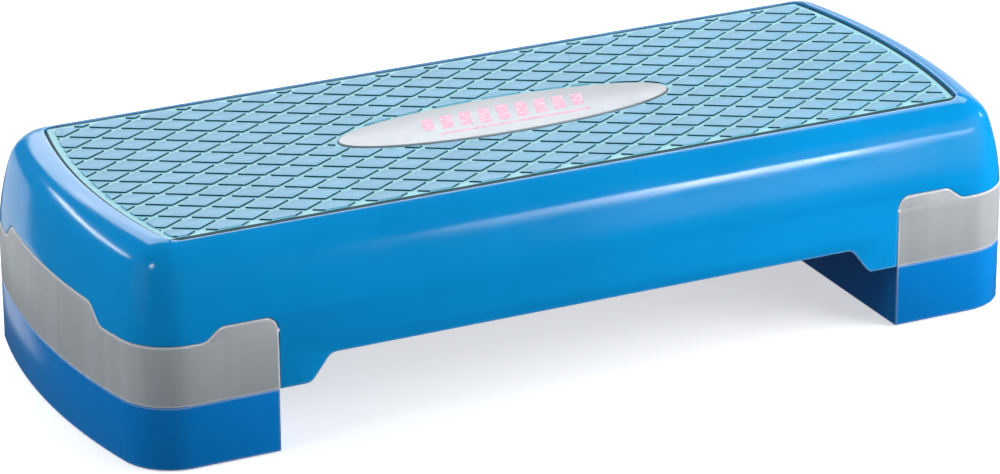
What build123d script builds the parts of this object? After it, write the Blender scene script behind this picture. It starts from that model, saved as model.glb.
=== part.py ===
"""Two-height exercise step: a hollow deck with a rubber tread, a grey collar round each end,
and a lift-off riser foot under each collar. Millimetres, +Z up, origin at the middle of the
floor under the step, +X along its length, -Y towards the front."""
from build123d import *
from math import asin, cos, degrees, radians, sin, sqrt
import os

# ---- Overall sizes -------------------------------------------------------------------------
LENGTH = 680.0            # over the bowed ends
WIDTH = 285.6             # over the straight sides
HEIGHT = 150.0            # floor to rim, on the riser feet
FOOT_HEIGHT = 45.0        # what the riser feet add
END_RADIUS = 530.0        # plan radius of each bowed end
CORNER_RADIUS = 38.5      # plan radius of each corner

# ---- Shoulder between the rim and the skirt: a tight arc, then a slack one -------------------
SHOULDER_RADIUS = 27.5
SKIRT_RADIUS = 185.0
SHOULDER_ANGLE = 72.0     # turn of the tight arc, in degrees

# ---- Walls and fits -------------------------------------------------------------------------
DECK_WALL = 3.0
FOOT_WALL = 3.2
PLATE = 3.0               # top plate of the deck and of each foot
FIT = 0.3                 # clearance round everything that plugs in
SEAM = 0.4                # open line between deck and collar
COLLAR_WALL = DECK_WALL + FIT     # so that its tongue clears the inside of the deck's skirt

# ---- Deck ------------------------------------------------------------------------------------
LEG_LENGTH = 109.5        # from the inner face of a collar or foot to the end of the step
HOOK_LENGTH = 22.5        # flat bottom of the deck's hook, beside the leg
HOOK_SLOPE = 14.0         # run over which the hook rises to the arch
ARCH_HEIGHT = 63.5        # underside of the skirt between the hooks
HOOK_BLEND = 8.0
RIB = 2.4
RIB_DEPTH = 15.0
RIB_BAYS = 5              # from the middle of the deck to the wall beside each leg

# ---- Collar ----------------------------------------------------------------------------------
COLLAR_DIP = 87.0         # top edge at the corners
SIDE_TOP = 95.5           # top edge of the raised part on the long sides
SIDE_FLAT = 40.0          # length of that raised part
SIDE_FALL = 11.0          # run over which it falls to the dip
END_TOP = 99.5            # top edge of the raised part on the short side
END_DIP = 54.8            # from the long side to the start of that raised part
END_FALL = 15.0           # run over which it falls to the dip
TOP_CORNER = 9.0          # round corner beside the deck's hook
EDGE_BLEND = 10.0         # softening of the falling edges
TONGUE = 2.0              # lip that stands behind the deck's skirt
TONGUE_RISE = 5.0
WEB_TOP = 77.0            # plate that the tongue and the deck's screw bosses stand on
WEB = 3.0

# ---- Foot ------------------------------------------------------------------------------------
PLATE_DROP = 2.0          # the foot's top plate lies below the rim that the collar stands on
UPSTAND = 2.5             # wall that plugs up into the collar
UPSTAND_RISE = 13.0
FOOT_CLEAR = 1.0          # the wall stops this far above the floor
RIB_CLEAR = 3.0
FOOT_RIBS = 5

# ---- Rubber pads and their sockets -------------------------------------------------------------
PAD = 18.0                # diameter
PAD_THICKNESS = 3.0
PAD_EDGE = 0.4
SOCKET_WALL = 2.2
PAD_FROM_SIDE = 27.0      # pad centre to the long side
PAD_FROM_END = 44.0       # pad centre to the end, measured on the centre line
PAD_FROM_INNER = 21.0     # pad centre to the inner face of the leg

# ---- Screws ------------------------------------------------------------------------------------
SCREW = 3.8
SCREW_HEAD = 7.6
SCREW_HEAD_THICKNESS = 2.4
SCREW_LENGTH = 16.0
SCREW_CLEAR = 0.2
DRIVE_SLOT = 1.0
DRIVE_DEPTH = 1.2
BOSS = 10.0
SCREW_Y = 62.0
SCREW_FROM_INNER = 17.0
SCREW_SPACING = 62.0

# ---- Tread mat and badge plate -----------------------------------------------------------------
MAT_FROM_END = 34.7
MAT_FROM_SIDE = 28.3
MAT_END_RADIUS = 505.0
MAT_CORNER = 12.0
MAT_THICKNESS = 2.2
MAT_BELOW_RIM = 1.2
MAT_GAP = 1.1             # open line round the mat
BADGE_LENGTH = 248.0
BADGE_WIDTH = 64.0
BADGE_THICKNESS = 2.4
BADGE_EDGE = 0.5
BADGE_GAP = 0.8
BADGE_OFFSET = -2.0       # the badge sits a little to the front of the middle

# ---- Worked out from the sizes above -------------------------------------------------------------
SHOULDER_SIN = sin(radians(SHOULDER_ANGLE))
SHOULDER_COS = cos(radians(SHOULDER_ANGLE))
SHOULDER_REACH = SHOULDER_RADIUS * SHOULDER_SIN + SKIRT_RADIUS * (1 - SHOULDER_SIN)
END_CENTRE = LENGTH / 2 - END_RADIUS
CORNER_Y = WIDTH / 2 - CORNER_RADIUS
CORNER_X = END_CENTRE + sqrt((END_RADIUS - CORNER_RADIUS) ** 2 - CORNER_Y**2)
CORNER_START = degrees(asin(CORNER_Y / (END_RADIUS - CORNER_RADIUS)))
LEG_INNER = LENGTH / 2 - LEG_LENGTH       # |x| of the inner face of the collars and feet
DECK_INNER = LEG_INNER - FIT              # |x| of the deck's faces beside the legs
RIB_PITCH = (DECK_INNER - DECK_WALL / 2) / RIB_BAYS
RECESS_FLOOR = HEIGHT - MAT_BELOW_RIM - MAT_THICKNESS
PLATE_UNDER = RECESS_FLOOR - PLATE
RIB_BOTTOM = PLATE_UNDER - RIB_DEPTH
WEB_UNDER = WEB_TOP - WEB
FOOT_PLATE = FOOT_HEIGHT - PLATE_DROP
BIG = 2 * LENGTH


def plan_face(inset):
    """The outline seen from above, moved inwards by inset."""
    side = WIDTH / 2 - inset
    end = LENGTH / 2 - inset
    start = radians(CORNER_START)
    corner_x = CORNER_X + (CORNER_RADIUS - inset) * cos(start)
    corner_y = CORNER_Y + (CORNER_RADIUS - inset) * sin(start)
    half = radians(45 + CORNER_START / 2)
    corner = CORNER_RADIUS - inset
    middle = (CORNER_X + corner * cos(half), CORNER_Y + corner * sin(half))
    edges = []
    for sx in (1, -1):
        edges += ThreePointArc((sx * corner_x, -corner_y), (sx * end, 0), (sx * corner_x, corner_y)).edges()
        for sy in (1, -1):
            edges += Line((0, sy * side), (sx * CORNER_X, sy * side)).edges()
            points = [(corner_x, corner_y), middle, (CORNER_X, side)]
            edges += ThreePointArc(*[(sx * x, sy * y) for x, y in points]).edges()
    return make_face(Wire.combine(edges)[0])


def shoulder_face(inset, top, outer_radius):
    """Section through one wall, from the flat of the top outwards. X is the plan radius."""
    tight = SHOULDER_RADIUS - inset
    slack = SKIRT_RADIUS - inset
    flat_end = outer_radius - SHOULDER_REACH
    mid = radians(SHOULDER_ANGLE / 2)
    low = radians((90 + SHOULDER_ANGLE) / 2)
    slack_x = outer_radius - SKIRT_RADIUS
    slack_z = top - tight - (slack - tight) * SHOULDER_COS
    start = (flat_end, top)
    on_tight = (flat_end + tight * sin(mid), top - tight + tight * cos(mid))
    join = (flat_end + tight * SHOULDER_SIN, top - tight + tight * SHOULDER_COS)
    on_slack = (slack_x + slack * sin(low), slack_z + slack * cos(low))
    foot = (outer_radius - inset, slack_z)
    edges = ThreePointArc(start, on_tight, join).edges() + ThreePointArc(join, on_slack, foot).edges()
    edges += Polyline(foot, (outer_radius - inset, 0), (flat_end, 0), start).edges()
    return Plane.XZ * make_face(Wire.combine(edges)[0])


def turned(inset, top, radius, centre, start, turn):
    """The wall's section swept round an arc of the outline."""
    section = revolve(shoulder_face(inset, top, radius), Axis.Z, revolution_arc=turn)
    return Pos(*centre, 0) * Rot(0, 0, start) * section


def body(inset=0.0, top=HEIGHT):
    """The whole outer form, moved inwards by inset and cut off flat at top."""
    corner_turn = 90 - CORNER_START
    parts = [extrude(plan_face(SHOULDER_REACH), top)]
    for end in (0, 180):
        parts.append(turned(inset, top, END_RADIUS, (cos(radians(end)) * END_CENTRE, 0),
                            end - CORNER_START, 2 * CORNER_START))
    corners = [((1, 1), CORNER_START), ((-1, 1), 90), ((-1, -1), 180 + CORNER_START), ((1, -1), 270)]
    for (sx, sy), start in corners:
        centre = (sx * CORNER_X, sy * CORNER_Y)
        parts.append(turned(inset, top, CORNER_RADIUS, centre, start, corner_turn))
    straight = extrude(shoulder_face(inset, top, WIDTH / 2), CORNER_X, both=True)
    for angle in (90, -90):
        parts.append(Rot(0, 0, angle) * straight)
    return parts[0] + parts[1:]


def hollow(clearance=0.0):
    """The space inside the deck, or the same space with a clearance taken off all round."""
    return body(DECK_WALL + clearance, PLATE_UNDER - clearance)


def block(x0, x1, y0, y1, z0, z1):
    """A box given by its limits."""
    return Pos((x0 + x1) / 2, (y0 + y1) / 2, (z0 + z1) / 2) * Box(x1 - x0, y1 - y0, z1 - z0)


def both_sides(shape):
    """The shape and its mirror image across the middle of the step."""
    return shape + mirror(shape, Plane.YZ)


def rounded(points, radii):
    """A closed polygon with a radius at each named corner."""
    face = make_face(Polyline(*points, close=True))
    for index, radius in radii.items():
        x, y = points[index]
        vertex = face.vertices().sort_by_distance(Vector(x, y, 0))[0]
        face = fillet(vertex, radius)
    return face


def leg_zone(inner, bottom, rise=0.0):
    """Everything at the right-hand end that lies under the collar's top edge."""
    dip = COLLAR_DIP + rise
    side_top = SIDE_TOP + rise
    end_top = END_TOP + rise
    beyond = LENGTH / 2 + 10
    side_fall = inner + SIDE_FLAT
    side_dip = side_fall + SIDE_FALL
    end_dip = WIDTH / 2 - END_DIP
    end_flat = end_dip - END_FALL
    zone = block(inner, beyond, -BIG / 2, BIG / 2, bottom, dip)
    side = rounded(
        [(inner, bottom), (inner, side_top), (side_fall, side_top), (side_dip, dip),
         (side_dip + 20, dip), (side_dip + 20, bottom)],
        {1: TOP_CORNER, 2: EDGE_BLEND, 3: EDGE_BLEND},
    )
    wall = extrude(Plane.XZ * side, WIDTH, both=True)
    zone += wall - block(0, BIG, -CORNER_Y + 6, CORNER_Y - 6, -BIG, BIG)
    end = rounded(
        [(-end_dip - 15, bottom), (-end_dip - 15, dip), (-end_dip, dip), (-end_flat, end_top),
         (end_flat, end_top), (end_dip, dip), (end_dip + 15, dip), (end_dip + 15, bottom)],
        {2: EDGE_BLEND, 3: EDGE_BLEND, 4: EDGE_BLEND, 5: EDGE_BLEND},
    )
    raised_end = extrude(Plane.YZ * end, beyond)
    return zone + (raised_end & block(CORNER_X, beyond, -BIG, BIG, -BIG, BIG))


def leg_slab(inset, inner, z0, z1):
    """A slab with the leg's own plan, moved inwards by inset, with a straight inner face."""
    slab = Pos(0, 0, z0) * extrude(plan_face(inset), z1 - z0)
    return slab & block(inner, BIG, -BIG, BIG, -BIG, BIG)


def pad_places():
    """Centres of the four pads of the right-hand leg."""
    near = LEG_INNER + PAD_FROM_INNER
    far = LENGTH / 2 - PAD_FROM_END
    side = WIDTH / 2 - PAD_FROM_SIDE
    return {"inner_front": (near, -side), "inner_back": (near, side),
            "outer_front": (far, -side), "outer_back": (far, side)}


def screw_places():
    """Centres of the four screws of the right-hand collar."""
    near = LEG_INNER + SCREW_FROM_INNER
    return [(near + dx, sy * SCREW_Y) for dx in (0, SCREW_SPACING) for sy in (-1, 1)]


def upright(x, y, diameter, z0, z1):
    """A vertical cylinder between two heights."""
    return Pos(x, y, (z0 + z1) / 2) * Cylinder(diameter / 2, z1 - z0)


def mat_face(grow=0.0):
    """Plan of the tread mat."""
    half_length = LENGTH / 2 - MAT_FROM_END + grow
    side = WIDTH / 2 - MAT_FROM_SIDE + grow
    radius = MAT_END_RADIUS + grow
    corner_x = half_length - radius + sqrt(radius**2 - side**2)
    edges = Line((-corner_x, side), (corner_x, side)).edges()
    edges += Line((-corner_x, -side), (corner_x, -side)).edges()
    for sx in (1, -1):
        edges += ThreePointArc((sx * corner_x, -side), (sx * half_length, 0), (sx * corner_x, side)).edges()
    face = make_face(Wire.combine(edges)[0])
    return fillet(face.vertices(), MAT_CORNER + grow)


def badge_face(grow=0.0):
    """Plan of the oval badge plate."""
    oval = Ellipse(BADGE_LENGTH / 2 + grow, BADGE_WIDTH / 2 + grow)
    return Pos(0, BADGE_OFFSET) * make_face(oval.edges())


def inner_wall():
    """Cross wall of the deck beside the right-hand leg."""
    return block(DECK_INNER - DECK_WALL, DECK_INNER, -BIG, BIG, FOOT_HEIGHT, HEIGHT)


def deck_shell():
    """Hollow moulded deck: tread plate, skirt with its arch and hooks, cross walls and screw bosses."""
    inside = hollow()
    shell = body() - inside
    shell -= block(-BIG, BIG, -BIG, BIG, -1, FOOT_HEIGHT)
    hook_end = LEG_INNER - HOOK_LENGTH
    arch_start = hook_end - HOOK_SLOPE
    past_hook = hook_end + HOOK_LENGTH / 2
    arch = rounded(
        [(-past_hook, FOOT_HEIGHT - 20), (-past_hook, FOOT_HEIGHT), (-hook_end, FOOT_HEIGHT),
         (-arch_start, ARCH_HEIGHT), (arch_start, ARCH_HEIGHT), (hook_end, FOOT_HEIGHT),
         (past_hook, FOOT_HEIGHT), (past_hook, FOOT_HEIGHT - 20)],
        {2: HOOK_BLEND, 3: HOOK_BLEND, 4: HOOK_BLEND, 5: HOOK_BLEND},
    )
    shell -= extrude(Plane.XZ * arch, WIDTH, both=True)
    shell -= both_sides(leg_zone(DECK_INNER, -10, SEAM))
    bosses = [upright(x, y, BOSS, WEB_TOP, HEIGHT) for x, y in screw_places()]
    shell += both_sides(inner_wall() + bosses) & inside
    bore = SCREW + SCREW_CLEAR
    for x, y in screw_places():
        shell -= both_sides(upright(x, y, bore, WEB_TOP - 1, WEB_TOP + SCREW_LENGTH))
    return shell - Pos(0, 0, RECESS_FLOOR) * extrude(mat_face(MAT_GAP), HEIGHT)


def deck_ribs():
    """Rib grid under the tread plate, in the deck's middle bay and in its two end bays."""
    grid = []
    across = int((LENGTH / 2 - SHOULDER_REACH) / RIB_PITCH)
    for n in range(-across, across + 1):
        if abs(n) != RIB_BAYS:
            x = n * RIB_PITCH
            grid.append(block(x - RIB / 2, x + RIB / 2, -BIG, BIG, RIB_BOTTOM, PLATE_UNDER))
    along = int((WIDTH / 2 - SHOULDER_REACH) / RIB_PITCH)
    for n in range(-along, along + 1):
        y = n * RIB_PITCH
        grid.append(block(-LENGTH / 2, LENGTH / 2, y - RIB / 2, y + RIB / 2, RIB_BOTTOM, PLATE_UNDER))
    ribs = grid[0] + grid[1:]
    return (ribs & body(DECK_WALL + FIT, PLATE_UNDER)) - both_sides(inner_wall())


def top_mat():
    """Rubber tread sheet in the deck's recess, with an oval hole for the badge."""
    sheet = extrude(mat_face() - badge_face(BADGE_GAP), MAT_THICKNESS)
    return Pos(0, 0, RECESS_FLOOR) * sheet


def name_badge():
    """Oval plate in the mat's hole."""
    plate = extrude(badge_face(), BADGE_THICKNESS)
    plate = chamfer(plate.edges().group_by(Axis.Z)[-1], BADGE_EDGE)
    return Pos(0, 0, RECESS_FLOOR) * plate


def socket(x, y, z0, z1, floor_z):
    """Round socket for a pad: a tube with a floor for the pad to bear on."""
    bore = PAD + 2 * FIT
    tube = upright(x, y, bore + 2 * SOCKET_WALL, z0, z1)
    return tube - upright(x, y, bore, z0, floor_z) - upright(x, y, bore, floor_z + PLATE, z1 - PLATE)


def collar():
    """Right-hand collar: flush wall with a raised and dipped top edge, and a tongue inside it."""
    wall = (body() - hollow(FIT)) & leg_zone(LEG_INNER, FOOT_HEIGHT)
    tongue = (hollow(FIT) - hollow(FIT + TONGUE)) & leg_zone(LEG_INNER, WEB_TOP, TONGUE_RISE)
    inner_wall = leg_slab(COLLAR_WALL, LEG_INNER, FOOT_HEIGHT, WEB_TOP)
    inner_wall &= block(LEG_INNER, LEG_INNER + COLLAR_WALL, -BIG, BIG, -BIG, BIG)
    return wall + tongue + inner_wall


def collar_plate():
    """Right-hand plate inside the collar: carries its tongue and the deck's bosses, holds the pads."""
    clear = COLLAR_WALL + FIT
    shape = leg_slab(clear, LEG_INNER + clear, WEB_UNDER, WEB_TOP)
    pad_seat = FOOT_HEIGHT - FOOT_CLEAR + PAD_THICKNESS
    for x, y in pad_places().values():
        shape += socket(x, y, FOOT_HEIGHT, WEB_TOP, pad_seat)
    for x, y in screw_places():
        shape -= upright(x, y, SCREW + SCREW_CLEAR, WEB_UNDER - 1, WEB_TOP + 1)
    return shape


def foot():
    """Right-hand riser foot: D-shaped box, open below, with an upstand that plugs into the collar."""
    under_plate = FOOT_PLATE - PLATE
    inner = LEG_INNER + FOOT_WALL
    shape = leg_slab(0, LEG_INNER, FOOT_CLEAR, FOOT_HEIGHT) - leg_slab(FOOT_WALL, inner, 0, HEIGHT)
    shape += leg_slab(FOOT_WALL, inner, under_plate, FOOT_PLATE)
    out = COLLAR_WALL + FIT
    plug_top = FOOT_HEIGHT + UPSTAND_RISE
    plug = leg_slab(out, LEG_INNER + out, FOOT_PLATE, plug_top)
    shape += plug - leg_slab(out + UPSTAND, LEG_INNER + out + UPSTAND, FOOT_PLATE, plug_top)

    pitch = WIDTH / (FOOT_RIBS + 1)
    middle = (LEG_INNER + LENGTH / 2) / 2
    ribs = block(middle - RIB / 2, middle + RIB / 2, -BIG, BIG, RIB_CLEAR, under_plate)
    for n in range(FOOT_RIBS):
        y = (n - (FOOT_RIBS - 1) / 2) * pitch
        ribs += block(0, BIG, y - RIB / 2, y + RIB / 2, RIB_CLEAR, under_plate)
    shape += ribs & leg_slab(FOOT_WALL, inner, 0, under_plate)
    for x, y in pad_places().values():
        shape -= upright(x, y, PAD + 2 * FIT, 0, under_plate)
        shape += socket(x, y, FOOT_CLEAR, FOOT_PLATE, PAD_THICKNESS)
    return shape


def pad(x, y, z):
    """Round rubber pad with its edge broken, standing on height z."""
    disc = upright(x, y, PAD, z, z + PAD_THICKNESS)
    return chamfer(disc.edges().group_by(Axis.Z)[0], PAD_EDGE)


def screw(x, y):
    """Pan-head screw, up through the web into the deck's boss."""
    head = upright(x, y, SCREW_HEAD, WEB_UNDER - SCREW_HEAD_THICKNESS, WEB_UNDER)
    head = fillet(head.edges().group_by(Axis.Z)[0], SCREW_HEAD_THICKNESS / 2)
    bottom = WEB_UNDER - SCREW_HEAD_THICKNESS
    reach = SCREW_HEAD / 3
    for dx, dy in ((reach, DRIVE_SLOT / 2), (DRIVE_SLOT / 2, reach)):
        head -= block(x - dx, x + dx, y - dy, y + dy, bottom, bottom + DRIVE_DEPTH)
    return head + upright(x, y, SCREW, WEB_UNDER, WEB_UNDER + SCREW_LENGTH)


def save(name, shape):
    """Write one sub-part as a STEP file."""
    shape.label = name
    export_step(shape, f"parts/{name}.step")


def save_pair(name, shape, suffix=""):
    """Write a right-hand sub-part and its left-hand mirror image."""
    save(f"{name}_right{suffix}", shape)
    save(f"{name}_left{suffix}", mirror(shape, Plane.YZ))


os.makedirs("parts", exist_ok=True)
save("deck_shell", deck_shell())
save("deck_ribs", deck_ribs())
save("top_mat", top_mat())
save("name_badge", name_badge())
save_pair("collar", collar())
save_pair("collar_plate", collar_plate())
save_pair("foot", foot())
for place, (pad_x, pad_y) in pad_places().items():
    save_pair("foot_pad", pad(pad_x, pad_y, 0), f"_{place}")
    save_pair("collar_pad", pad(pad_x, pad_y, FOOT_HEIGHT - FOOT_CLEAR), f"_{place}")
save_pair("collar_screws", Compound(children=[screw(x, y) for x, y in screw_places()]))
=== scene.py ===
"""Looks for the two-height exercise step: moulded deck, grey collars, riser feet, rubber tread
mat with raised diamonds, oval badge, rubber pads and collar screws, on a plain studio floor."""
from math import asin, cos, pi, radians, sin, sqrt, tan

import bpy
from bpy.props import FloatProperty, FloatVectorProperty, IntProperty, PointerProperty
from mathutils import Matrix, Vector


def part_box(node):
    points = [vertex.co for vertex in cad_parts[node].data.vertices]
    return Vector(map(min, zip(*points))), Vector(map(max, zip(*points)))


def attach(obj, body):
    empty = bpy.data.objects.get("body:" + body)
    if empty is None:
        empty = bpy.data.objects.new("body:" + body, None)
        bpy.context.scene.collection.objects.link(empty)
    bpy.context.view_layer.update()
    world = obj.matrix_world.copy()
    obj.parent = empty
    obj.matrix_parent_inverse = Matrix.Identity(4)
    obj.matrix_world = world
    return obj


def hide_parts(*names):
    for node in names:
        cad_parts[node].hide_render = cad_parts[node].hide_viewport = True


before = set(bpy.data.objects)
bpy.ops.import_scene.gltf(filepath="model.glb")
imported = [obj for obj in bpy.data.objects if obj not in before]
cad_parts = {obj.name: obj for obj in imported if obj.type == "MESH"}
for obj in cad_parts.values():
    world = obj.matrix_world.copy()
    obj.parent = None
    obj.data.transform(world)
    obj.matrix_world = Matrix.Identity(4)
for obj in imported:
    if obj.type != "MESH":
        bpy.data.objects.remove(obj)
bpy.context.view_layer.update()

bl_info = {
    "name": "Exercise step",
    "version": (1, 0, 0),
    "blender": (4, 5, 0),
    "location": "3D View > Sidebar > Step",
    "description": "Builds the visible pieces of a two-height exercise step",
    "category": "Object",
}

MM = 0.001
SIDES = ("left", "right")
PLACES = ("inner_front", "inner_back", "outer_front", "outer_back")
MERGE = 2e-6              # corners nearer than this are one corner
SUNK = 0.5 * MM           # how far a raised detail reaches into what carries it
PAST = MM                 # how far a cutter reaches past what it cuts
FEW_STEPS = 2             # facets across an edge that is hardly seen
SHEET_EDGE = 0.4 * MM     # rounding of the mat's own edges
END_FACETS = 480          # facets in a full circle of each round shape
CORNER_FACETS = 64
OVAL_FACETS = 160
PAD_FACETS = 64
HEAD_FACETS = 48
SHANK_FACETS = 32
THREAD_FACETS = 24
FLOOR_SIZE = 30.0
FLOOR_GLOW = 0.56         # strength of the light that the floor gives off
SKY_STRENGTH = 0.12
SENSOR_WIDTH = 36.0       # millimetres
FAR_CLIP = 100.0

# Linear colours that come with a finish and aren't set in the panel.
# painted highlight for the collars' edges
EDGE_HIGHLIGHT_GREY = (0.90, 0.91, 0.92)
# painted shade on the mat's diamond walls and along its edge
TREAD_SHADE = (0.008, 0.065, 0.085)
WORN_INK = (0.84, 0.74, 0.80)
SKY = (0.60, 0.80, 1.0)


def length(name, description, default, low=0.0, high=1.0):
    """A size in metres."""
    return FloatProperty(name=name, description=description, default=default, min=low, max=high,
                         unit="LENGTH", subtype="DISTANCE", precision=5)


def colour(name, description, default):
    """A linear colour."""
    return FloatVectorProperty(name=name, description=description, default=default, size=3,
                               min=0.0, max=1.0, subtype="COLOR")


# ---- Sizes and colours that a user may change ---------------------------------------------------

class StepEdges(bpy.types.PropertyGroup):
    """Rounding of the moulded edges."""
    deck: length("Deck edge", "Radius of the deck's moulded edges", 0.7 * MM)
    collar: length("Collar edge", "Radius of the collars' moulded edges", 0.8 * MM)
    foot: length("Foot edge", "Radius of the feet's moulded edges", 0.8 * MM)
    rib: length("Rib edge", "Radius of the rib grid's edges", 0.5 * MM)
    plate: length("Plate edge", "Radius of the collar plates' edges", 0.4 * MM)
    steps: IntProperty(name="Edge steps", description="Facets across a rounded edge",
                       default=3, min=1, max=8)


class StepTread(bpy.types.PropertyGroup):
    """The mat and its raised diamonds."""
    pitch_long: length("Long pitch", "Diamond pitch along the step", 37.46 * MM)
    pitch_short: length("Short pitch", "Diamond pitch across the step", 22.98 * MM)
    first_x: length("Row start", "A diamond's centre along the step", -173.4 * MM, -1.0)
    first_y: length("Row side", "A diamond's centre across the step", 33.9 * MM, -1.0)
    groove: length("Groove", "Width of the groove between diamonds", 3.4 * MM)
    height: length("Diamond height", "How far the diamonds stand up", 1.0 * MM)
    draft: length("Draft", "Slope of a diamond's sides, in plan", 0.2 * MM)
    border: length("Border", "Plain strip inside the mat's edge", 6.2 * MM)
    shade_front: length("Front shade", "Dark strip along the mat's front edge", 5.3 * MM)
    shade_back: length("Back shade", "Dark strip along the mat's back edge", 2.4 * MM)
    shade_end: length("End shade", "Dark strip along the mat's bowed ends", 1.8 * MM)
    ring: length("Badge ring", "Plain ring round the badge", 3.0 * MM)
    corner: length("Corner", "Radius of the mat's corners", 12.0 * MM)
    end_radius: length("End radius", "Plan radius of the mat's bowed ends", 505.0 * MM)
    badge_gap: length("Badge gap", "Open line round the badge", 0.8 * MM)
    edge: length("Diamond edge", "Radius of a diamond's top edge", 0.35 * MM)


class StepBadge(bpy.types.PropertyGroup):
    """The oval plate and its printed bars."""
    edge: length("Rim edge", "Radius of the plate's rim", 0.6 * MM)
    bar: length("Bar width", "Width of a printed bar", 8.4 * MM)
    bar_gap: length("Bar gap", "Gap between printed bars", 5.8 * MM)
    ink: length("Ink", "Thickness of the print", 0.06 * MM)
    bars: IntProperty(name="Bars", description="Number of printed bars", default=9, min=1, max=20)


class StepPads(bpy.types.PropertyGroup):
    """The round rubber pads."""
    edge: length("Pad edge", "Radius of the pad's lower edge", 0.5 * MM)
    groove: length("Pad groove", "Width of the ring groove", 1.2 * MM)
    depth: length("Groove depth", "Depth of the ring groove", 0.6 * MM)
    dimple: length("Dimple", "Radius of the middle dimple", 3.0 * MM)


class StepScrews(bpy.types.PropertyGroup):
    """The collar screws."""
    head: length("Head", "Radius of the screw's head", 3.8 * MM)
    head_height: length("Head height", "Height of the screw's head", 2.4 * MM)
    shank: length("Shank", "Radius of the shank at its root", 1.45 * MM)
    thread: length("Thread", "Radius of the thread's crest", 1.9 * MM)
    pitch: length("Pitch", "Pitch of the thread", 1.6 * MM)
    drive: length("Drive width", "Width of the cross recess", 1.0 * MM)
    drive_depth: length("Drive depth", "Depth of the cross recess", 1.2 * MM)


class StepColours(bpy.types.PropertyGroup):
    """Base colours of the finishes."""
    deck: colour("Deck", "Moulded deck", (0.0006, 0.280, 0.660))
    foot: colour("Feet", "Riser feet", (0.0006, 0.190, 0.560))
    collar: colour("Collars", "Grey collars", (0.415, 0.430, 0.445))
    tread: colour("Tread", "Tops of the rubber diamonds", (0.140, 0.410, 0.610))
    groove: colour("Grooves", "Grooves between the diamonds", (0.270, 0.660, 0.740))
    badge: colour("Badge", "Oval badge plate", (0.360, 0.385, 0.415))
    print: colour("Print", "Printed bars on the badge", (0.800, 0.270, 0.450))
    pad: colour("Pads", "Rubber pads", (0.030, 0.031, 0.034))
    screw: colour("Screws", "Zinc plated steel", (0.560, 0.570, 0.560))
    floor: colour("Floor", "Studio floor", (0.860, 0.865, 0.870))


class StepStage(bpy.types.PropertyGroup):
    """Camera and floor."""
    azimuth: FloatProperty(name="Azimuth", description="Camera's turn from the front",
                           default=radians(-25.8), subtype="ANGLE")
    elevation: FloatProperty(name="Elevation", description="Camera's height angle",
                             default=radians(22.1), subtype="ANGLE")
    roll: FloatProperty(name="Roll", description="Camera's roll",
                        default=radians(-0.29), subtype="ANGLE")
    distance: length("Distance", "Camera to the middle of the step", 3.055, 0.1, 20.0)
    target_x: length("Target along", "What the camera looks at, along the step", -0.0036, -1.0)
    target_z: length("Target height", "What the camera looks at, above the floor", 0.0578, -1.0)
    lens: FloatProperty(name="Lens", description="Focal length in millimetres",
                        default=159.0, min=10.0, max=400.0)


class StepSettings(bpy.types.PropertyGroup):
    """All the step's settings."""
    edges: PointerProperty(type=StepEdges)
    tread: PointerProperty(type=StepTread)
    badge: PointerProperty(type=StepBadge)
    pads: PointerProperty(type=StepPads)
    screws: PointerProperty(type=StepScrews)
    colours: PointerProperty(type=StepColours)
    stage: PointerProperty(type=StepStage)


def settings():
    """The scene's step settings."""
    return bpy.context.scene.exercise_step


# ---- Working on one object ----------------------------------------------------------------------

def only(*objects):
    """Select these objects alone, the first one active."""
    if bpy.context.mode != "OBJECT":
        bpy.ops.object.mode_set(mode="OBJECT")
    bpy.ops.object.select_all(action="DESELECT")
    for obj in objects:
        obj.select_set(True)
    bpy.context.view_layer.objects.active = objects[0]


def edit(obj, mode="VERT"):
    """Open an object in edit mode with nothing selected."""
    only(obj)
    bpy.ops.object.mode_set(mode="EDIT")
    bpy.ops.mesh.select_mode(type=mode)
    bpy.ops.mesh.select_all(action="DESELECT")


def pick(obj, test, kind="vertices"):
    """Select the parts of the open mesh that pass a test, leaving edit mode open."""
    bpy.ops.object.mode_set(mode="OBJECT")
    for part in getattr(obj.data, kind):
        part.select = test(part)
    bpy.ops.object.mode_set(mode="EDIT")


def looks_down(face):
    """Whether a face points downwards."""
    return face.normal.z < -0.5


def looks_up(face):
    """Whether a face points upwards."""
    return face.normal.z > 0.5


def new_piece(name):
    """The object that the last primitive made, renamed and selected alone."""
    obj = bpy.context.object
    obj.name = name
    obj.data.name = name
    only(obj)
    return obj


def settle(obj):
    """Move an object's place, turn and size into its mesh."""
    only(obj)
    bpy.ops.object.transform_apply(location=True, rotation=True, scale=True)


def finish_with(obj, kind, **values):
    """Add a modifier, set it and apply it."""
    only(obj)
    modifier = obj.modifiers.new(kind.title(), kind)
    for key, value in values.items():
        setattr(modifier, key, value)
    bpy.ops.object.modifier_apply(modifier=modifier.name)


def soften(obj, width, steps, turn=35):
    """Round every edge that turns more than an angle."""
    finish_with(obj, "BEVEL", width=width, segments=steps, limit_method="ANGLE",
                angle_limit=radians(turn), use_clamp_overlap=False, miter_outer="MITER_ARC")


def smooth(obj, turn=30):
    """Smooth shading with sharp lines kept."""
    only(obj)
    bpy.ops.object.shade_smooth_by_angle(angle=radians(turn))


def face_out(obj):
    """Close doubles and turn the faces outwards."""
    edit(obj)
    bpy.ops.mesh.select_all(action="SELECT")
    bpy.ops.mesh.remove_doubles(threshold=MERGE)
    bpy.ops.mesh.normals_make_consistent(inside=False)
    bpy.ops.object.mode_set(mode="OBJECT")


def copy_of(obj, name):
    """A copy with a mesh of its own."""
    copy = obj.copy()
    copy.data = obj.data.copy()
    copy.name = name
    copy.data.name = name
    bpy.context.scene.collection.objects.link(copy)
    return copy


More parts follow.
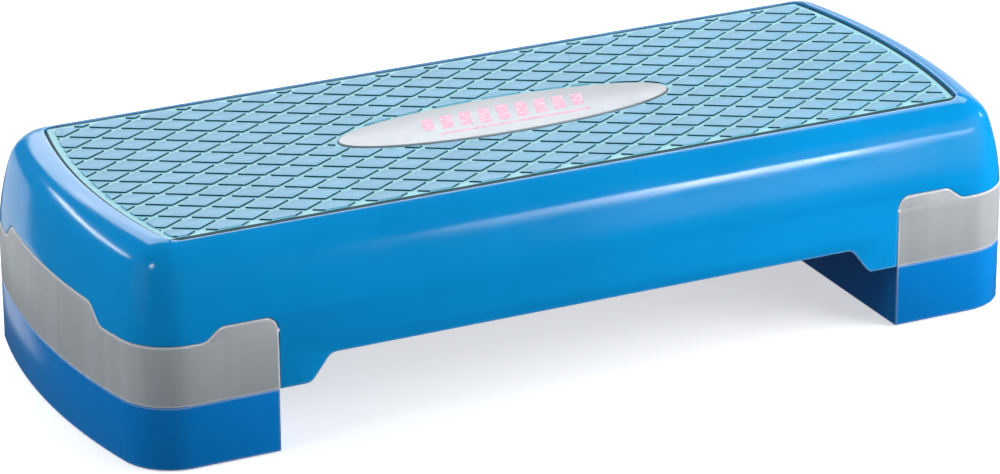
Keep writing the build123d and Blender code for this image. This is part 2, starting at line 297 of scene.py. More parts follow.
def merged_copy(node, name):
    """A copy of a CAD node with its loose triangles joined at their corners."""
    copy = copy_of(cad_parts[node], name)
    copy.parent = None
    for key in [k for k in copy.keys() if k.startswith("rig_")]:
        del copy[key]
    only(copy)
    bpy.ops.mesh.customdata_custom_splitnormals_clear()
    edit(copy)
    bpy.ops.mesh.select_all(action="SELECT")
    bpy.ops.mesh.remove_doubles(threshold=MERGE)
    bpy.ops.object.mode_set(mode="OBJECT")
    return copy


def moulded_copy(node, name, width, steps):
    """A merged copy of a CAD node with rounded edges."""
    obj = merged_copy(node, name)
    soften(obj, width, steps)
    smooth(obj)
    return obj


def combine(target, tool, operation):
    """Boolean with another object, which is then removed."""
    finish_with(target, "BOOLEAN", object=tool, operation=operation, solver="EXACT")
    bpy.data.objects.remove(tool)


def hand_over(obj, material, body, slot, *nodes):
    """Give a finished piece its material and body, and hide the nodes that it stands for. The slot
    is not used.
    """
    obj.data.materials.clear()
    obj.data.materials.append(material)
    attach(obj, body)
    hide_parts(*nodes)


# ---- Materials ----------------------------------------------------------------------------------

class Finish:
    """A Principled material under construction, with short calls for its nodes."""

    BLEND_FIRST, BLEND_SECOND, BLEND_RESULT = 6, 7, 2      # a Mix node's colour sockets

    def __init__(self, name, base, roughness, **sockets):
        self.material = bpy.data.materials.new(name)
        self.material.use_nodes = True
        self.tree = self.material.node_tree
        self.shader = self.tree.nodes["Principled BSDF"]
        self.base = base
        self.shader.inputs["Base Color"].default_value = (*base, 1)
        self.shader.inputs["Roughness"].default_value = roughness
        for key, value in sockets.items():
            self.shader.inputs[key.replace("_", " ")].default_value = value
        coordinates = self.node("ShaderNodeTexCoord")
        self.place = coordinates.outputs["Object"]
        self.normal = coordinates.outputs["Normal"]

    def node(self, kind, **values):
        """A new node with its settings."""
        made = self.tree.nodes.new(kind)
        for key, value in values.items():
            setattr(made, key, value)
        return made

    def join(self, output, target):
        """A link between two sockets."""
        self.tree.links.new(output, target)

    def stretched(self, scale):
        """Object coordinates, scaled along each axis."""
        mapping = self.node("ShaderNodeMapping")
        mapping.inputs["Scale"].default_value = scale
        self.join(self.place, mapping.inputs["Vector"])
        return mapping.outputs["Vector"]

    def noise(self, scale, detail=2.0, rough=0.5, vector=None):
        """Noise from 0 to 1."""
        made = self.node("ShaderNodeTexNoise")
        made.inputs["Scale"].default_value = scale
        made.inputs["Detail"].default_value = detail
        made.inputs["Roughness"].default_value = rough
        self.join(vector or self.place, made.inputs["Vector"])
        return made.outputs["Fac"]

    def span(self, value, low, high, out_low=0.0, out_high=1.0):
        """A value carried from one range to another, kept inside it."""
        made = self.node("ShaderNodeMapRange")
        for key, number in (("From Min", low), ("From Max", high),
                            ("To Min", out_low), ("To Max", out_high)):
            made.inputs[key].default_value = number
        self.join(value, made.inputs["Value"])
        return made.outputs["Result"]

    def maths(self, operation, first, second=0.0):
        """One step of arithmetic on two values."""
        made = self.node("ShaderNodeMath", operation=operation)
        for socket, value in zip(made.inputs, (first, second)):
            if isinstance(value, (int, float)):
                socket.default_value = value
            else:
                self.join(value, socket)
        return made.outputs[0]

    def blend(self, factor, first, second):
        """A mix of two colours."""
        made = self.node("ShaderNodeMix", data_type="RGBA")
        self.join(factor, made.inputs[0])
        for place, value in ((self.BLEND_FIRST, first), (self.BLEND_SECOND, second)):
            socket = made.inputs[place]
            if isinstance(value, tuple):
                socket.default_value = (*value, 1)
            else:
                self.join(value, socket)
        return made.outputs[self.BLEND_RESULT]

    def cloudy(self, value, low, high, darker, lighter):
        """The base colour, a little darker and lighter as a value goes from low to high."""
        return self.blend(self.span(value, low, high), self.tint(darker), self.tint(lighter))

    def axes(self, vector):
        """The X, Y and Z of a vector."""
        split = self.node("ShaderNodeSeparateXYZ")
        self.join(vector, split.inputs[0])
        return [split.outputs[axis] for axis in "XYZ"]

    def edges(self, radius, low=0.005, high=0.06):
        """How near a point is to a sharp edge: 0 on a face, 1 on the edge."""
        rounded = self.node("ShaderNodeBevel", samples=4)
        rounded.inputs["Radius"].default_value = radius
        turned = self.node("ShaderNodeVectorMath", operation="DOT_PRODUCT")
        self.join(rounded.outputs["Normal"], turned.inputs[0])
        self.join(self.node("ShaderNodeNewGeometry").outputs["Normal"], turned.inputs[1])
        return self.span(self.maths("SUBTRACT", 1.0, turned.outputs["Value"]), low, high)

    def tint(self, share):
        """The base colour made lighter or darker."""
        return tuple(min(1.0, part * share) for part in self.base)

    def paint(self, colour_output):
        """The finish's colour."""
        self.join(colour_output, self.shader.inputs["Base Color"])

    def gloss(self, roughness_output):
        """The finish's roughness."""
        self.join(roughness_output, self.shader.inputs["Roughness"])

    def bump(self, height, strength, distance):
        """Surface relief from a height between 0 and 1."""
        made = self.node("ShaderNodeBump")
        made.inputs["Strength"].default_value = strength
        made.inputs["Distance"].default_value = distance
        self.join(height, made.inputs["Height"])
        self.join(made.outputs["Normal"], self.shader.inputs["Normal"])


def moulded_plastic(name, base, roughness, highlight_strength, where=None):
    """Glossy moulded polypropylene: faint flow clouds, fine skin and a painted highlight along the
    edges, uneven in patches.
    """
    finish = Finish(name, base, roughness, IOR=1.49, Specular_IOR_Level=0.4)
    body = finish.cloudy(finish.noise(scale=9.0, detail=3.0), 0.35, 0.65, 0.95, 1.05)
    # Painted highlight: paler along the edges, uneven in patches, and on the deck kept away from
    # the collars.
    highlight_patches = finish.span(finish.noise(scale=38.0, detail=4.0), 0.35, 0.65, 0.7 * highlight_strength, highlight_strength)
    edge_highlight = finish.maths("MULTIPLY", finish.edges(2.2 * MM), highlight_patches)
    if where:
        edge_highlight = finish.maths("MULTIPLY", edge_highlight, where(finish))
    kept, highlight_lift = 0.5, 0.48
    finish.paint(finish.blend(edge_highlight, body, tuple(kept * part + highlight_lift for part in base)))
    smudges = finish.noise(scale=24.0, detail=5.0, rough=0.6)
    finish.gloss(finish.span(smudges, 0.3, 0.8, roughness - 0.03, roughness + 0.06))
    finish.bump(finish.noise(scale=420.0, detail=3.0), strength=0.04, distance=0.4 * MM)
    return finish.material


def clear_of_collars(finish):
    """1 on the deck's rim and arches, 0 where the deck meets a collar."""
    leg_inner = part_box("foot_right")[0].x
    rim_low, rim_high = 125 * MM, 130 * MM
    along, _, height = finish.axes(finish.place)
    inside = finish.span(finish.maths("ABSOLUTE", along), leg_inner - MM, leg_inner - 2 * MM)
    above = finish.span(height, rim_low, rim_high)
    return finish.maths("MAXIMUM", inside, above)


def collar_plastic(base):
    """Satin grey plastic with faint upright flow streaks and a painted highlight along its edges.
    """
    finish = Finish("collar_plastic", base, 0.36, IOR=1.49)
    upright = finish.stretched((1.0, 1.0, 0.06))
    streaks = finish.noise(scale=60.0, detail=3.0, rough=0.6, vector=upright)
    clouds = finish.noise(scale=14.0, detail=2.0)
    both = finish.maths("ADD", finish.maths("MULTIPLY", streaks, 0.7),
                        finish.maths("MULTIPLY", clouds, 0.3))
    body = finish.cloudy(both, 0.38, 0.62, 0.94, 1.06)
    # Painted highlight along the collar's edges.
    finish.paint(finish.blend(finish.edges(2.4 * MM), body, EDGE_HIGHLIGHT_GREY))
    finish.gloss(finish.span(finish.noise(scale=180.0, detail=3.0), 0.3, 0.7, 0.32, 0.42))
    finish.bump(finish.noise(scale=900.0, detail=2.0), strength=0.08, distance=0.3 * MM)
    return finish.material


def tread_rubber(base, sizes, floor_height):
    """Soft rubber: bluer diamond tops, paler grooves, painted shade on the diamonds' walls and a
    painted line of shade along the mat's edge."""
    finish = Finish("tread_rubber", base, 0.45, IOR=1.50)
    along, across, height = finish.axes(finish.place)
    raised = finish.span(height, floor_height + 0.1 * sizes.height,
                         floor_height + 0.95 * sizes.height)
    top = finish.cloudy(finish.noise(scale=30.0, detail=3.0), 0.35, 0.65, 0.94, 1.06)
    face = finish.blend(raised, tuple(settings().colours.groove), top)
    # Painted shade on the diamonds' walls and along the mat's edge, with less specular where it
    # lies.
    shade = finish.maths("MAXIMUM", diamond_walls(finish),
                         edge_line(finish, along, across, sizes))
    finish.paint(finish.blend(shade, face, TREAD_SHADE))
    specular = finish.span(shade, 0.0, 1.0, 0.5, 0.05)
    finish.join(specular, finish.shader.inputs["Specular IOR Level"])
    grain = finish.noise(scale=700.0, detail=3.0)
    finish.gloss(finish.span(grain, 0.3, 0.7, 0.40, 0.52))
    finish.bump(grain, strength=0.25, distance=0.3 * MM)
    return finish.material


def diamond_walls(finish):
    """1 on the diamonds' steep slanted walls, 0 on their tops and on the mat's own walls."""
    turn_x, _, turn_z = finish.axes(finish.normal)
    lean = finish.maths("ABSOLUTE", turn_x)
    steep = finish.span(finish.maths("ABSOLUTE", turn_z), 0.75, 0.35)
    slanted = finish.maths("MULTIPLY", finish.span(lean, 0.25, 0.35),
                           finish.span(lean, 0.80, 0.70))
    return finish.maths("MULTIPLY", steep, slanted)


def edge_line(finish, along, across, sizes):
    """1 in the strip of shade that follows the mat's outline, 0 inside it."""
    high_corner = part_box("top_mat")[1]
    blur = 0.25 * MM
    middle = high_corner.x - sizes.end_radius
    reach = finish.maths("SUBTRACT", finish.maths("ABSOLUTE", along), middle)
    out = finish.maths("SQRT", finish.maths("ADD", finish.maths("POWER", reach, 2.0),
                                            finish.maths("POWER", across, 2.0)))
    end_line = sizes.end_radius - sizes.shade_end
    front_line = high_corner.y - sizes.shade_front
    back_line = high_corner.y - sizes.shade_back
    end = finish.span(out, end_line - blur, end_line + blur)
    front = finish.span(across, blur - front_line, -blur - front_line)
    back = finish.span(across, back_line - blur, back_line + blur)
    return finish.maths("MAXIMUM", end, finish.maths("MAXIMUM", front, back))


def badge_silver(base):
    """Satin silver lacquer with a fine sparkle."""
    finish = Finish("badge_plastic", base, 0.34, Metallic=0.35)
    flakes = finish.noise(scale=2400.0, detail=1.0)
    finish.paint(finish.cloudy(flakes, 0.35, 0.65, 0.94, 1.05))
    finish.gloss(finish.span(finish.noise(scale=60.0, detail=3.0), 0.3, 0.7, 0.30, 0.40))
    finish.bump(flakes, strength=0.05, distance=0.2 * MM)
    return finish.material


def badge_ink(base):
    """Thin printed ink, worn in places."""
    finish = Finish("badge_print", base, 0.40)
    worn = finish.span(finish.noise(scale=320.0, detail=4.0, rough=0.7), 0.45, 0.72)
    finish.paint(finish.blend(worn, finish.tint(1.0), WORN_INK))
    finish.gloss(finish.span(worn, 0.0, 1.0, 0.36, 0.46))
    return finish.material


def pad_rubber(base):
    """Matt black rubber with a dusty skin."""
    finish = Finish("pad_rubber", base, 0.70)
    dust = finish.noise(scale=180.0, detail=4.0, rough=0.65)
    finish.paint(finish.cloudy(dust, 0.45, 0.75, 1.0, 1.9))
    finish.gloss(finish.span(dust, 0.3, 0.7, 0.60, 0.82))
    finish.bump(finish.noise(scale=1500.0, detail=2.0), strength=0.25, distance=0.2 * MM)
    return finish.material


def zinc_steel(base):
    """Zinc plated steel."""
    finish = Finish("screw_steel", base, 0.32, Metallic=1.0)
    stain = finish.noise(scale=700.0, detail=4.0, rough=0.6)
    finish.paint(finish.cloudy(stain, 0.35, 0.7, 1.0, 0.72))
    finish.gloss(finish.span(stain, 0.3, 0.7, 0.26, 0.44))
    return finish.material


# ---- Shapes used by more than one piece ---------------------------------------------------------

def ring_of(centre, radius, facets, keep=None):
    """A circle of points, or the part of it that passes a test."""
    bpy.ops.mesh.primitive_circle_add(vertices=facets, radius=radius, location=centre)
    obj = new_piece("ring")
    settle(obj)
    if keep:
        edit(obj)
        pick(obj, lambda v: not keep(v.co))
        bpy.ops.mesh.delete(type="VERT")
        bpy.ops.object.mode_set(mode="OBJECT")
    return obj


def hull_prism(name, rings, low, high):
    """The upright solid round a set of rings of points, between two heights."""
    only(*rings)
    bpy.ops.object.join()
    obj = new_piece(name)
    edit(obj)
    bpy.ops.mesh.select_all(action="SELECT")
    bpy.ops.mesh.extrude_region_move(TRANSFORM_OT_translate={"value": (0, 0, high - low)})
    bpy.ops.mesh.select_all(action="SELECT")
    bpy.ops.transform.translate(value=(0, 0, low))
    bpy.ops.mesh.convex_hull()
    bpy.ops.mesh.select_all(action="SELECT")
    bpy.ops.mesh.dissolve_limited(angle_limit=radians(0.05))
    bpy.ops.object.mode_set(mode="OBJECT")
    return obj


def mat_prism(name, inset, low, high):
    """The mat's plan, moved inwards, as an upright solid."""
    sizes = settings().tread
    high_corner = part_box("top_mat")[1]
    half_length = high_corner.x - inset
    side = high_corner.y - inset
    radius = sizes.end_radius - inset
    corner = sizes.corner - inset
    middle = half_length - radius
    corner_y = side - corner
    reach = sqrt((radius - corner) ** 2 - corner_y**2)
    turn = asin(corner_y / (radius - corner))
    limit = radius * sin(turn)
    rings = []
    for sx in (1, -1):
        def on_end(place, sx=sx):
            return sx * place.x > 0.5 * half_length and abs(place.y) < limit
        rings.append(ring_of((sx * middle, 0, 0), radius, END_FACETS, on_end))
        for sy in (1, -1):
            centre = (sx * (middle + reach), sy * corner_y, 0)
            rings.append(ring_of(centre, corner, CORNER_FACETS))
    return hull_prism(name, rings, low, high)


def oval_prism(name, grow, low, high):
    """The badge's oval, grown, as an upright solid."""
    low_corner, high_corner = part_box("name_badge")
    middle = (low_corner + high_corner) / 2
    bpy.ops.mesh.primitive_cylinder_add(vertices=OVAL_FACETS, radius=1.0, depth=high - low,
                                        location=(middle.x, middle.y, (low + high) / 2))
    obj = new_piece(name)
    obj.scale = (high_corner.x - middle.x + grow, high_corner.y - middle.y + grow, 1)
    settle(obj)
    return obj


# ---- Pieces -------------------------------------------------------------------------------------

class STEP_OT_deck(bpy.types.Operator):
    """Build the moulded deck and the rib grid under it"""
    bl_idname = "step.deck"
    bl_label = "Deck"

    def execute(self, context):
        edges = settings().edges
        plastic = moulded_plastic("deck_plastic", tuple(settings().colours.deck),
                                  roughness=0.13, highlight_strength=0.7, where=clear_of_collars)
        shell = moulded_copy("deck_shell", "deck", edges.deck, edges.steps)
        hand_over(shell, plastic, "deck", "deck_plastic", "deck_shell")
        ribs = moulded_copy("deck_ribs", "rib_grid", edges.rib, FEW_STEPS)
        hand_over(ribs, plastic, "deck", "deck_plastic", "deck_ribs")
        return {"FINISHED"}


class STEP_OT_collars(bpy.types.Operator):
    """Build the two grey collars"""
    bl_idname = "step.collars"
    bl_label = "Collars"

    def execute(self, context):
        edges = settings().edges
        plastic = collar_plastic(tuple(settings().colours.collar))
        for side in SIDES:
            collar = moulded_copy(f"collar_{side}", f"grey_collar_{side}", edges.collar,
                                  edges.steps)
            hand_over(collar, plastic, "deck", "collar_plastic", f"collar_{side}")
            plate = moulded_copy(f"collar_plate_{side}", f"grey_plate_{side}", edges.plate,
                                 FEW_STEPS)
            hand_over(plate, plastic, "deck", "collar_plastic", f"collar_plate_{side}")
        return {"FINISHED"}


class STEP_OT_feet(bpy.types.Operator):
    """Build the two riser feet"""
    bl_idname = "step.feet"
    bl_label = "Riser feet"

    def execute(self, context):
        edges = settings().edges
        plastic = moulded_plastic("foot_plastic", tuple(settings().colours.foot),
                                  roughness=0.18, highlight_strength=0.8)
        for side in SIDES:
            foot = moulded_copy(f"foot_{side}", f"riser_{side}", edges.foot, edges.steps)
            hand_over(foot, plastic, f"foot_{side}", "foot_plastic", f"foot_{side}")
        return {"FINISHED"}


class STEP_OT_tread(bpy.types.Operator):
    """Build the rubber mat with its raised diamonds"""
    bl_idname = "step.tread"
    bl_label = "Tread mat"

    def execute(self, context):
        sizes = settings().tread
        low_corner, high_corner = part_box("top_mat")
        top = high_corner.z
        groove_floor = top - sizes.height
        sheet = mat_prism("tread_mat", 0.0, low_corner.z, groove_floor)
        below, above = low_corner.z - PAST, top + PAST
        combine(sheet, oval_prism("hole", sizes.badge_gap, below, above), "DIFFERENCE")
        soften(sheet, SHEET_EDGE, FEW_STEPS)
        tiles = self.diamonds(sizes, groove_floor - SUNK, top, high_corner)
        combine(tiles, mat_prism("outline", sizes.border, low_corner.z, above), "INTERSECT")
        combine(tiles, oval_prism("hole", sizes.badge_gap + sizes.ring, below, above),
                "DIFFERENCE")
        combine(sheet, tiles, "UNION")
        smooth(sheet, turn=25)
        rubber = tread_rubber(tuple(settings().colours.tread), sizes, groove_floor)
        hand_over(sheet, rubber, "deck", "tread_rubber", "top_mat")
        return {"FINISHED"}

    def diamonds(self, sizes, low, top, reach):
        """Tapered diamonds over the whole mat."""
        half_x = sizes.pitch_long / 2
        half_y = sizes.pitch_short / 2
        from_middle = half_x * half_y / sqrt(half_x**2 + half_y**2)
        share = 1 - sizes.groove / 2 / from_middle
        columns = int(2 * reach.x / sizes.pitch_long) + 2
        rows = int(2 * reach.y / sizes.pitch_short) + 2
        first_x = sizes.first_x % sizes.pitch_long - (columns // 2) * sizes.pitch_long
        first_y = sizes.first_y % sizes.pitch_short - (rows // 2) * sizes.pitch_short
        bpy.ops.mesh.primitive_circle_add(vertices=4, radius=1.0, fill_type="NGON",
                                          location=(first_x, first_y, low))
        tile = new_piece("diamonds")
        tile.scale = (half_x * share, half_y * share, 1)
        settle(tile)
        edit(tile, "FACE")
        bpy.ops.mesh.select_all(action="SELECT")
        bpy.ops.mesh.extrude_region_move(TRANSFORM_OT_translate={"value": (0, 0, top - low)})
        taper = 1 - sizes.draft / from_middle
        bpy.ops.transform.resize(value=(taper, taper, 1), center_override=(first_x, first_y, top))
        bpy.ops.object.mode_set(mode="OBJECT")
        face_out(tile)
        soften(tile, sizes.edge, FEW_STEPS)
        between = copy_of(tile, "between")
        between.location = (half_x, half_y, 0)
        settle(between)
        only(tile, between)
        bpy.ops.object.join()
        for count, offset in ((columns, (sizes.pitch_long, 0, 0)),
                              (rows, (0, sizes.pitch_short, 0))):
            finish_with(tile, "ARRAY", count=count, use_relative_offset=False,
                        use_constant_offset=True, constant_offset_displace=offset)
        return tile


class STEP_OT_badge(bpy.types.Operator):
    """Build the oval badge plate and its plain printed bars"""
    bl_idname = "step.badge"
    bl_label = "Badge"

    # Shares of the badge's width across the step, and the bars' slant as a share of their height.
    BAR_HEIGHT, BAR_SWELL, BAR_LIFT = 0.32, 0.10, 0.06
    LINE_HEIGHT, LINE_DROP = 0.045, 0.25
    SLANT = 0.35

    def execute(self, context):
        sizes = settings().badge
        low_corner, high_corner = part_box("name_badge")
        plate = oval_prism("badge_plate", 0.0, low_corner.z, high_corner.z)
        soften(plate, sizes.edge, steps=4)
        smooth(plate)
        hand_over(plate, badge_silver(tuple(settings().colours.badge)), "deck", "badge_plastic",
                  "name_badge")
        self.bars(sizes, low_corner, high_corner)
        return {"FINISHED"}

    def bars(self, sizes, low_corner, high_corner):
        """A flight of slanted bars with a line under them."""
        ink = badge_ink(tuple(settings().colours.print))
        middle = (low_corner + high_corner) / 2
        width = high_corner.y - low_corner.y
        step = sizes.bar + sizes.bar_gap
        start = middle.x - step * (sizes.bars - 1) / 2
        pieces = []
        for n in range(sizes.bars):
            swell = self.BAR_SWELL * sin(pi * n / (sizes.bars - 1))
            place = (start + n * step, middle.y + width * self.BAR_LIFT, high_corner.z)
            tall = width * (self.BAR_HEIGHT + swell)
            pieces.append(self.bar(place, sizes.bar, tall, sizes.ink))
        line = (middle.x, middle.y - width * self.LINE_DROP, high_corner.z)
        pieces.append(self.bar(line, step * (sizes.bars - 1), width * self.LINE_HEIGHT,
                               sizes.ink))
        only(*pieces)
        bpy.ops.object.join()
        print_piece = new_piece("badge_bars")
        hand_over(print_piece, ink, "deck", "badge_plastic")

    def bar(self, place, wide, tall, thick):
        """One slanted bar of ink, half of its thickness in the plate."""
        lean = tall * self.SLANT
        bpy.ops.mesh.primitive_cube_add(size=1.0, location=place)
        bar = new_piece("bar")
        bar.scale = (wide, tall, 2 * thick)
        settle(bar)
        edit(bar)
        pick(bar, lambda v: v.co.y > place[1])
        bpy.ops.transform.translate(value=(lean, 0, 0))
        bpy.ops.mesh.select_all(action="SELECT")
        bpy.ops.transform.translate(value=(-lean / 2, 0, 0))
        bpy.ops.object.mode_set(mode="OBJECT")
        finish_with(bar, "BEVEL", width=thick, segments=1, limit_method="ANGLE")
        return bar


class STEP_OT_pads(bpy.types.Operator):
    """Build the rubber pads under the feet and the collars"""
    bl_idname = "step.pads"
    bl_label = "Rubber pads"

    def execute(self, context):
        rubber = pad_rubber(tuple(settings().colours.pad))
        low_corner, high_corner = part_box("foot_pad_right_inner_front")
        pattern = self.pattern(settings().pads, low_corner, high_corner)
        start = (low_corner + high_corner) / 2
        for side in SIDES:
            for place in PLACES:
                for kind, body in (("foot", f"foot_{side}"), ("collar", "deck")):
                    node = f"{kind}_pad_{side}_{place}"
                    pad = copy_of(pattern, node.replace("pad", "rubber_pad"))
                    low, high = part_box(node)
                    pad.location = (low + high) / 2 - start
                    settle(pad)
                    hand_over(pad, rubber, body, "pad_rubber", node)
        bpy.data.objects.remove(pattern)
        return {"FINISHED"}

    def pattern(self, sizes, low_corner, high_corner):
        """One pad: rounded edge, ring groove and dimple in its sole."""
        middle = (low_corner + high_corner) / 2
        radius = (high_corner.x - low_corner.x) / 2
        bpy.ops.mesh.primitive_cylinder_add(vertices=PAD_FACETS, radius=radius, location=middle,
                                            depth=high_corner.z - low_corner.z)
        pad = new_piece("pad_pattern")
        settle(pad)
        ring_share = 0.70
        ring_out = radius * ring_share
        ring_in = ring_out - sizes.groove
        edit(pad, "FACE")
        pick(pad, looks_down, "polygons")
        for outer, inner in ((radius, ring_out), (ring_out, ring_in), (ring_in, sizes.dimple)):
            bpy.ops.mesh.inset(thickness=(outer - inner) * cos(pi / PAD_FACETS))
        for low, high in ((ring_in, ring_out), (-radius, sizes.dimple)):
            self.sink(pad, middle, low, high, sizes.depth)
        bpy.ops.object.mode_set(mode="OBJECT")
        soften(pad, sizes.edge / 2, FEW_STEPS)
        smooth(pad)
        return pad

    def sink(self, pad, middle, low, high, depth):
        """Push the part of the sole between two radii up into the pad."""
        def between(face):
            reach = (face.center - middle).xy.length
            return looks_down(face) and low < reach < high
        pick(pad, between, "polygons")
        bpy.ops.mesh.extrude_region_move(TRANSFORM_OT_translate={"value": (0, 0, depth)})


class STEP_OT_screws(bpy.types.Operator):
    """Build the screws that hold the collars to the deck"""
    bl_idname = "step.screws"
    bl_label = "Collar screws"

    def execute(self, context):
        sizes = settings().screws
        steel = zinc_steel(tuple(settings().colours.screw))
        for side in SIDES:
            node = f"collar_screws_{side}"
            low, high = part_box(node)
            pattern = self.pattern(sizes, low, high)
            for row, y in (("front", low.y + sizes.head), ("back", high.y - sizes.head)):
                for column, x in (("left", low.x + sizes.head), ("right", high.x - sizes.head)):
                    screw = copy_of(pattern, f"screw_{side}_{row}_{column}")
                    screw.location = (x, y, 0)
                    settle(screw)
                    hand_over(screw, steel, "deck", "screw_steel", node)
            bpy.data.objects.remove(pattern)
        return {"FINISHED"}

    def pattern(self, sizes, low, high):
        """One pan-head screw on the vertical axis, head down, with a cross recess and a thread."""
        seat = low.z + sizes.head_height
        bpy.ops.mesh.primitive_cylinder_add(vertices=HEAD_FACETS, radius=sizes.head,
                                            depth=sizes.head_height,
                                            location=(0, 0, (low.z + seat) / 2))
        screw = new_piece("screw_pattern")
        settle(screw)
        edit(screw, "FACE")
        pick(screw, looks_down, "polygons")
        bpy.ops.mesh.bevel(offset=sizes.head_height / 2, segments=6, affect="EDGES")
        bpy.ops.object.mode_set(mode="OBJECT")
        reach = sizes.head * 4 / 3
        recess_taper = (0.6, 0.6, 1)
        for wide, deep in ((reach, sizes.drive), (sizes.drive, reach)):
            bpy.ops.mesh.primitive_cube_add(size=1.0, location=(0, 0, low.z))
            cutter = new_piece("cutter")
            cutter.scale = (wide, deep, 2 * sizes.drive_depth)
            settle(cutter)
            edit(cutter, "FACE")
            pick(cutter, looks_up, "polygons")
            bpy.ops.transform.resize(value=recess_taper, center_override=(0, 0, low.z))
            combine(screw, cutter, "DIFFERENCE")
        combine(screw, self.shank(sizes, seat, high.z), "UNION")
        smooth(screw, turn=35)
        return screw

    def shank(self, sizes, seat, end):
        """Pointed shank with a spiral ridge."""
        bpy.ops.mesh.primitive_cylinder_add(vertices=SHANK_FACETS, radius=sizes.shank,
                                            depth=end - seat + SUNK,
                                            location=(0, 0, (seat - SUNK + end) / 2))
        shank = new_piece("shank")
        settle(shank)
        edit(shank, "FACE")
        pick(shank, looks_up, "polygons")
        bpy.ops.mesh.bevel(offset=sizes.shank * 0.8, segments=3, affect="EDGES")
        bpy.ops.object.mode_set(mode="OBJECT")
        ridge_share = 0.42
        ridge_width = ridge_share * sizes.pitch
        start = (sizes.thread - ridge_width, 0, seat + sizes.pitch)
        bpy.ops.mesh.primitive_circle_add(vertices=3, radius=ridge_width, fill_type="NOTHING",
                                          location=start, rotation=(pi / 2, pi / 2, 0))
        ridge = new_piece("ridge")
        settle(ridge)
        turns = int((end - seat) / sizes.pitch) - 2
        facets = THREAD_FACETS * turns
        finish_with(ridge, "SCREW", angle=2 * pi * turns, screw_offset=sizes.pitch * turns,
                    steps=facets, render_steps=facets, use_merge_vertices=False)
        edit(ridge, "EDGE")
        bpy.ops.mesh.select_non_manifold()
        bpy.ops.mesh.fill()
        face_out(ridge)
        combine(shank, ridge, "UNION")
        return shank


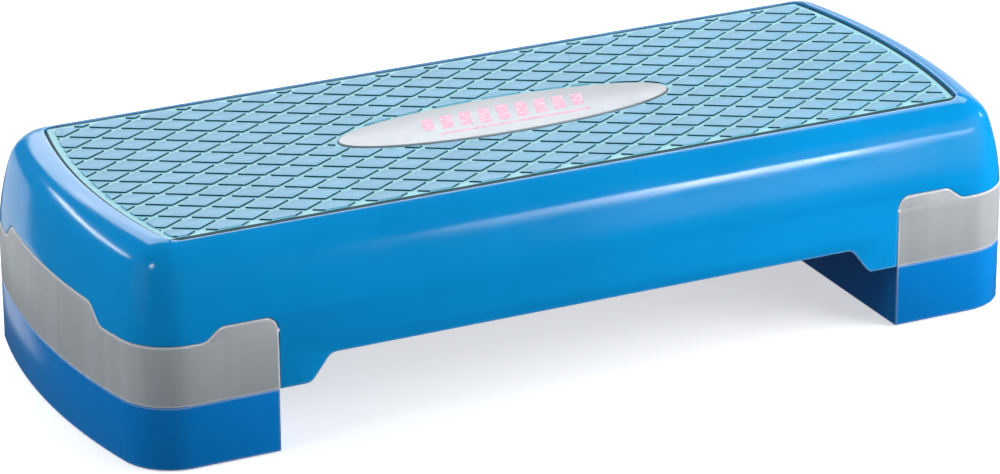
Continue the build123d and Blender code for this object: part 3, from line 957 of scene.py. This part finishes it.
class STEP_OT_stage(bpy.types.Operator):
    """Build the floor, the lights and the camera"""
    bl_idname = "step.stage"
    bl_label = "Studio"

    def execute(self, context):
        self.floor()
        self.lights()
        self.camera()
        context.scene.view_settings.view_transform = "Standard"
        return {"FINISHED"}

    def floor(self):
        """A pale matt floor, lit a little from below as a light table is, and clear when it is
        looked at from under it."""
        bpy.ops.mesh.primitive_plane_add(size=FLOOR_SIZE, location=(0, 0, 0))
        floor = new_piece("studio_floor")
        finish = Finish("studio_floor", tuple(settings().colours.floor), 0.8)
        clouds = finish.noise(scale=0.8, detail=2.0)
        finish.paint(finish.blend(clouds, finish.tint(0.985), finish.tint(1.01)))
        finish.shader.inputs["Emission Color"].default_value = (1, 1, 1, 1)
        finish.shader.inputs["Emission Strength"].default_value = FLOOR_GLOW
        sides = finish.node("ShaderNodeMixShader")
        finish.join(finish.node("ShaderNodeNewGeometry").outputs["Backfacing"], sides.inputs[0])
        finish.join(finish.shader.outputs["BSDF"], sides.inputs[1])
        finish.join(finish.node("ShaderNodeBsdfTransparent").outputs["BSDF"], sides.inputs[2])
        output = finish.tree.nodes["Material Output"]
        finish.join(sides.outputs["Shader"], output.inputs["Surface"])
        floor.data.materials.append(finish.material)
        floor.visible_diffuse = False
        floor.visible_glossy = False

    def light(self, name, turn, size, distance, radiance, shine=True):
        """A soft light that looks at the step. Turn is its azimuth and elevation and size its
        width and height, all in degrees seen from the step. Azimuth 0 is behind, 90 to the
        right. A light without shine gives no reflection."""
        azimuth, elevation = (radians(angle) for angle in turn)
        wide, tall = (2 * distance * tan(radians(angle / 2)) for angle in size)
        data = bpy.data.lights.new(name, "AREA")
        data.shape = "RECTANGLE"
        data.size = wide
        data.size_y = tall
        data.energy = radiance * pi * data.size * data.size_y
        lamp = bpy.data.objects.new(name, data)
        bpy.context.scene.collection.objects.link(lamp)
        away = Vector((sin(azimuth) * cos(elevation), cos(azimuth) * cos(elevation),
                       sin(elevation)))
        aim = Vector((0, 0, 0.1))
        lamp.location = aim + away * distance
        lamp.rotation_euler = (-away).to_track_quat("-Z", "Y").to_euler()
        lamp.visible_camera = False
        lamp.visible_glossy = shine

    def lights(self):
        """Softboxes round the step: some for the reflections in its gloss, some only to fill."""
        # Behind: the sheen of the mat, the rim and the wide pale reflection.
        self.light("back_box", (26, 47), (62, 26), 3.4, radiance=3.6)
        self.light("rim_card", (12, 26), (46, 16), 3.4, radiance=3.4)
        self.light("horizon", (26, 0), (66, 34), 3.4, radiance=0.7)
        # Right and front: the streak along the front shoulder and its fading tail.
        self.light("front_strip", (150, 14), (9, 5.5), 2.6, radiance=17.0)
        self.light("front_tail", (147, 14), (27, 5), 2.6, radiance=6.5)
        self.light("front_card", (150, 2.5), (12, 8), 2.6, radiance=1.1)
        self.light("right_spot", (90, 15), (5, 5), 2.6, radiance=14.0)
        # Left: the corner's glint, the line along the end's shoulder and the pale lower wall.
        self.light("corner_spot", (-109, 37), (8, 8), 2.6, radiance=14.0)
        self.light("left_strip", (-38, 20), (24, 3.5), 3.0, radiance=12.0)
        self.light("left_card", (-16, -12), (18, 22), 3.0, radiance=0.85)
        # Fills that leave no reflection.
        self.light("right_fill", (124, 15), (36, 34), 1.6, radiance=9.0, shine=False)
        self.light("left_fill", (-88, 14), (40, 34), 1.7, radiance=3.0, shine=False)
        self.light("front_fill", (-170, 20), (30, 24), 2.0, radiance=0.9, shine=False)
        self.sky()

    def sky(self):
        """A faint blue from all round."""
        world = bpy.data.worlds.new("studio")
        world.use_nodes = True
        background = world.node_tree.nodes["Background"]
        background.inputs["Color"].default_value = (*SKY, 1)
        background.inputs["Strength"].default_value = SKY_STRENGTH
        bpy.context.scene.world = world

    def camera(self):
        """A long lens from the front left."""
        view = settings().stage
        data = bpy.data.cameras.new("camera")
        data.lens = view.lens
        data.sensor_width = SENSOR_WIDTH
        data.clip_end = FAR_CLIP
        camera = bpy.data.objects.new("camera", data)
        bpy.context.scene.collection.objects.link(camera)
        az, el = view.azimuth, view.elevation
        back = Vector((sin(az) * cos(el), -cos(az) * cos(el), sin(el)))
        right = Vector((0, 0, 1)).cross(back).normalized()
        up = back.cross(right)
        tilted_right = cos(view.roll) * right + sin(view.roll) * up
        tilted_up = cos(view.roll) * up - sin(view.roll) * right
        turn = Matrix((tilted_right, tilted_up, back)).transposed().to_4x4()
        place = Vector((view.target_x, 0, view.target_z)) + back * view.distance
        camera.matrix_world = Matrix.Translation(place) @ turn
        bpy.context.scene.camera = camera


class STEP_PT_panel(bpy.types.Panel):
    """The step's buttons"""
    bl_label = "Exercise step"
    bl_idname = "STEP_PT_panel"
    bl_space_type = "VIEW_3D"
    bl_region_type = "UI"
    bl_category = "Step"

    def draw(self, context):
        for group in ("edges", "tread", "badge", "pads", "screws", "colours", "stage"):
            box = self.layout.box()
            box.label(text=group.title())
            values = getattr(settings(), group)
            for key in values.__annotations__:
                box.prop(values, key)
        for operator in OPERATORS:
            self.layout.operator(operator.bl_idname)


OPERATORS = (STEP_OT_deck, STEP_OT_collars, STEP_OT_feet, STEP_OT_tread, STEP_OT_badge,
             STEP_OT_pads, STEP_OT_screws, STEP_OT_stage)
GROUPS = (StepEdges, StepTread, StepBadge, StepPads, StepScrews, StepColours, StepStage,
          StepSettings)


def register():
    for cls in (*GROUPS, *OPERATORS, STEP_PT_panel):
        bpy.utils.register_class(cls)
    bpy.types.Scene.exercise_step = PointerProperty(type=StepSettings)


def unregister():
    del bpy.types.Scene.exercise_step
    for cls in reversed((*GROUPS, *OPERATORS, STEP_PT_panel)):
        bpy.utils.unregister_class(cls)


def main():
    """Build every piece in order."""
    register()
    bpy.ops.step.deck()
    bpy.ops.step.collars()
    bpy.ops.step.feet()
    bpy.ops.step.tread()
    bpy.ops.step.badge()
    bpy.ops.step.pads()
    bpy.ops.step.screws()
    bpy.ops.step.stage()


if __name__ == "__main__":
    main()
